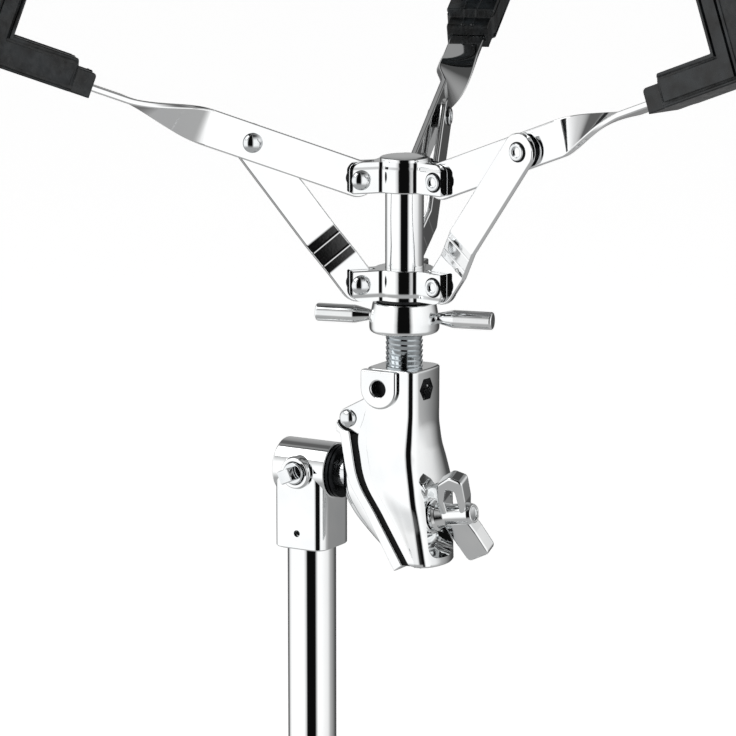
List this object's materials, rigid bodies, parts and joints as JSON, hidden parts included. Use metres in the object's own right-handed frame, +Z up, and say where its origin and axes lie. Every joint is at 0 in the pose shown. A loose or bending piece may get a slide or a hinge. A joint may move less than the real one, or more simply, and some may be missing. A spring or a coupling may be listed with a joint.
{
  "type": "snare drum stand",
  "caption": "Folding tripod stand with a height-adjusting mast, an offset tilter and a folding basket of rubber-tipped arms that holds a snare drum.",
  "frame": {"origin": "on the floor, on the axis of the two tubes", "axes": "+Z up along the tubes; +X along the tilt axis, from the tubes towards the basket; +Y completes the right-handed frame"},
  "size_m": [0.3627, 0.4062, 0.7051],
  "materials": {
    "chrome_tube": "chromium plated, polished",
    "chrome_cast": "die cast, polished and chromium plated",
    "chrome_strip": "pressed steel strip, chromium plated",
    "plated_fastener": "chromium plated fastener",
    "dark_steel": "blackened steel",
    "rubber": "moulded black rubber",
    "nylon": "moulded black nylon"
  },
  "bodies": {
    "base": {"lower_tube": "chrome_tube", "tube_plug": "nylon", "strut_collar": "chrome_cast", "strut_collar_rivets": "plated_fastener", "height_clamp": "chrome_cast", "height_bush": "nylon", "height_clamp_nut": "plated_fastener"},
    "height_bolt": {"height_wing_bolt": "plated_fastener"},
    "leg_collar": {"leg_collar": "chrome_cast", "leg_collar_rivets": "plated_fastener"},
    "leg_bolt": {"leg_wing_bolt": "plated_fastener"},
    "memory_lock": {"memory_lock": "chrome_cast", "memory_lock_bolt": "plated_fastener"},
    "mast": {"upper_tube": "chrome_tube", "knuckle": "chrome_cast", "knuckle_pin": "dark_steel", "knuckle_key_bolt": "plated_fastener"},
    "tilter": {"tilt_shaft": "chrome_tube", "brake_washer": "dark_steel", "tilter_back_jaw": "chrome_cast", "tilter_front_jaw": "chrome_cast", "collar_set_screw": "dark_steel", "collar_lock_nut": "dark_steel", "tilter_hinge_pin": "plated_fastener", "tilter_stud": "plated_fastener", "basket_post": "chrome_tube", "upper_hub": "chrome_cast", "upper_hub_rivets": "plated_fastener", "hub_cap": "chrome_cast"},
    "wing_nut": {"tilter_wing_nut": "chrome_cast"},
    "lower_hub": {"lower_hub": "chrome_cast", "lower_hub_rivets": "plated_fastener", "thrust_washer": "nylon"},
    "basket_nut": {"basket_nut": "chrome_cast", "basket_nut_handles": "chrome_cast"},
    "leg_a": {"leg_a_strips": "chrome_strip", "leg_a_foot": "rubber"},
    "strut_a": {"strut_a_strips": "chrome_strip"},
    "leg_b": {"leg_b_strips": "chrome_strip", "leg_b_foot": "rubber"},
    "strut_b": {"strut_b_strips": "chrome_strip"},
    "leg_c": {"leg_c_strips": "chrome_strip", "leg_c_foot": "rubber"},
    "strut_c": {"strut_c_strips": "chrome_strip"},
    "arm_a": {"arm_a_strip": "chrome_strip", "arm_a_tip": "rubber", "arm_a_rivet": "plated_fastener"},
    "link_a": {"link_a_strip": "chrome_strip", "link_a_rivet": "plated_fastener"},
    "arm_b": {"arm_b_strip": "chrome_strip", "arm_b_tip": "rubber", "arm_b_rivet": "plated_fastener"},
    "link_b": {"link_b_strip": "chrome_strip", "link_b_rivet": "plated_fastener"},
    "arm_c": {"arm_c_strip": "chrome_strip", "arm_c_tip": "rubber", "arm_c_rivet": "plated_fastener"},
    "link_c": {"link_c_strip": "chrome_strip", "link_c_rivet": "plated_fastener"}
  },
  "joints": [
    {"name": "leg_collar_slide", "type": "slide", "parent": "base", "child": "leg_collar", "axis": [0, 0, 1], "range_m": [0, 0.11262]},
    {"name": "leg_a_fold", "type": "hinge", "parent": "leg_collar", "child": "leg_a", "pos_m": [0.027, 0, 0.11628], "axis": [0, 1, 0], "range_deg": [0, 61.72]},
    {"name": "strut_a_fold", "type": "hinge", "parent": "base", "child": "strut_a", "pos_m": [0.025, 0, 0.036], "axis": [0, -1, 0], "range_deg": [0, 67.34]},
    {"name": "leg_b_fold", "type": "hinge", "parent": "leg_collar", "child": "leg_b", "pos_m": [-0.0135, 0.02338, 0.11628], "axis": [-0.866, -0.5, 0], "range_deg": [0, 61.72]},
    {"name": "strut_b_fold", "type": "hinge", "parent": "base", "child": "strut_b", "pos_m": [-0.0125, 0.02165, 0.036], "axis": [0.866, 0.5, 0], "range_deg": [0, 67.34]},
    {"name": "leg_c_fold", "type": "hinge", "parent": "leg_collar", "child": "leg_c", "pos_m": [-0.0135, -0.02338, 0.11628], "axis": [0.866, -0.5, 0], "range_deg": [0, 61.72]},
    {"name": "strut_c_fold", "type": "hinge", "parent": "base", "child": "strut_c", "pos_m": [-0.0125, -0.02165, 0.036], "axis": [-0.866, 0.5, 0], "range_deg": [0, 67.34]},
    {"name": "leg_bolt_turn", "type": "hinge", "parent": "leg_collar", "child": "leg_bolt", "pos_m": [0.0135, -0.02338, 0.11628], "axis": [0.5, -0.866, 0], "continuous": true},
    {"name": "height_bolt_turn", "type": "hinge", "parent": "base", "child": "height_bolt", "pos_m": [0.015, -0.02598, 0.269], "axis": [0.866, 0.5, 0], "continuous": true},
    {"name": "mast_swivel", "type": "hinge", "parent": "base", "child": "memory_lock", "pos_m": [0, 0, 0.298], "axis": [0, 0, 1], "continuous": true},
    {"name": "mast_slide", "type": "slide", "parent": "memory_lock", "child": "mast", "axis": [0, 0, 1], "range_m": [-0.06, 0.06]},
    {"name": "basket_tilt", "type": "hinge", "parent": "mast", "child": "tilter", "pos_m": [0, 0, 0.45], "axis": [1, 0, 0], "range_deg": [-90, 90]},
    {"name": "wing_nut_turn", "type": "hinge", "parent": "tilter", "child": "wing_nut", "pos_m": [0.0645, 0, 0.435], "axis": [0.9877, 0, 0.1564], "continuous": true},
    {"name": "arm_a_fold", "type": "hinge", "parent": "tilter", "child": "arm_a", "pos_m": [0.07002, -0.00455, 0.5872], "axis": [-0.2079, -0.9781, 0], "range_deg": [-4, 27]},
    {"name": "arm_b_fold", "type": "hinge", "parent": "tilter", "child": "arm_b", "pos_m": [0.04183, 0.02083, 0.5872], "axis": [0.9511, 0.309, 0], "range_deg": [-4, 27]},
    {"name": "arm_c_fold", "type": "hinge", "parent": "tilter", "child": "arm_c", "pos_m": [0.03395, -0.01627, 0.5872], "axis": [-0.7431, 0.6691, 0], "range_deg": [-4, 27]},
    {"name": "lower_hub_slide", "type": "slide", "parent": "tilter", "child": "lower_hub", "axis": [0, 0, 1], "range_m": [-0.00177, 0.01185]},
    {"name": "link_a_fold", "type": "hinge", "parent": "lower_hub", "child": "link_a", "pos_m": [0.07002, -0.00455, 0.5404], "axis": [-0.2079, -0.9781, 0], "range_deg": [-1.66, 11.17]},
    {"name": "link_b_fold", "type": "hinge", "parent": "lower_hub", "child": "link_b", "pos_m": [0.04183, 0.02083, 0.5404], "axis": [0.9511, 0.309, 0], "range_deg": [-1.66, 11.17]},
    {"name": "link_c_fold", "type": "hinge", "parent": "lower_hub", "child": "link_c", "pos_m": [0.03395, -0.01627, 0.5404], "axis": [-0.7431, 0.6691, 0], "range_deg": [-1.66, 11.17]},
    {"name": "basket_nut_turn", "type": "hinge", "parent": "lower_hub", "child": "basket_nut", "pos_m": [0.0486, 0, 0.5311], "axis": [0, 0, 1], "continuous": true}
  ],
  "couplings": [
    {"joint": "leg_a_fold", "follows": "leg_collar_slide", "rad_per_m": 9.5648},
    {"joint": "strut_a_fold", "follows": "leg_collar_slide", "rad_per_m": 10.436},
    {"joint": "leg_b_fold", "follows": "leg_collar_slide", "rad_per_m": 9.5648},
    {"joint": "strut_b_fold", "follows": "leg_collar_slide", "rad_per_m": 10.436},
    {"joint": "leg_c_fold", "follows": "leg_collar_slide", "rad_per_m": 9.5648},
    {"joint": "strut_c_fold", "follows": "leg_collar_slide", "rad_per_m": 10.436},
    {"joint": "arm_b_fold", "follows": "arm_a_fold", "ratio": 1},
    {"joint": "arm_c_fold", "follows": "arm_a_fold", "ratio": 1},
    {"joint": "lower_hub_slide", "follows": "arm_a_fold", "m_per_rad": 0.025133},
    {"joint": "link_a_fold", "follows": "arm_a_fold", "ratio": 0.4134},
    {"joint": "link_b_fold", "follows": "arm_a_fold", "ratio": 0.4134},
    {"joint": "link_c_fold", "follows": "arm_a_fold", "ratio": 0.4134}
  ]
}
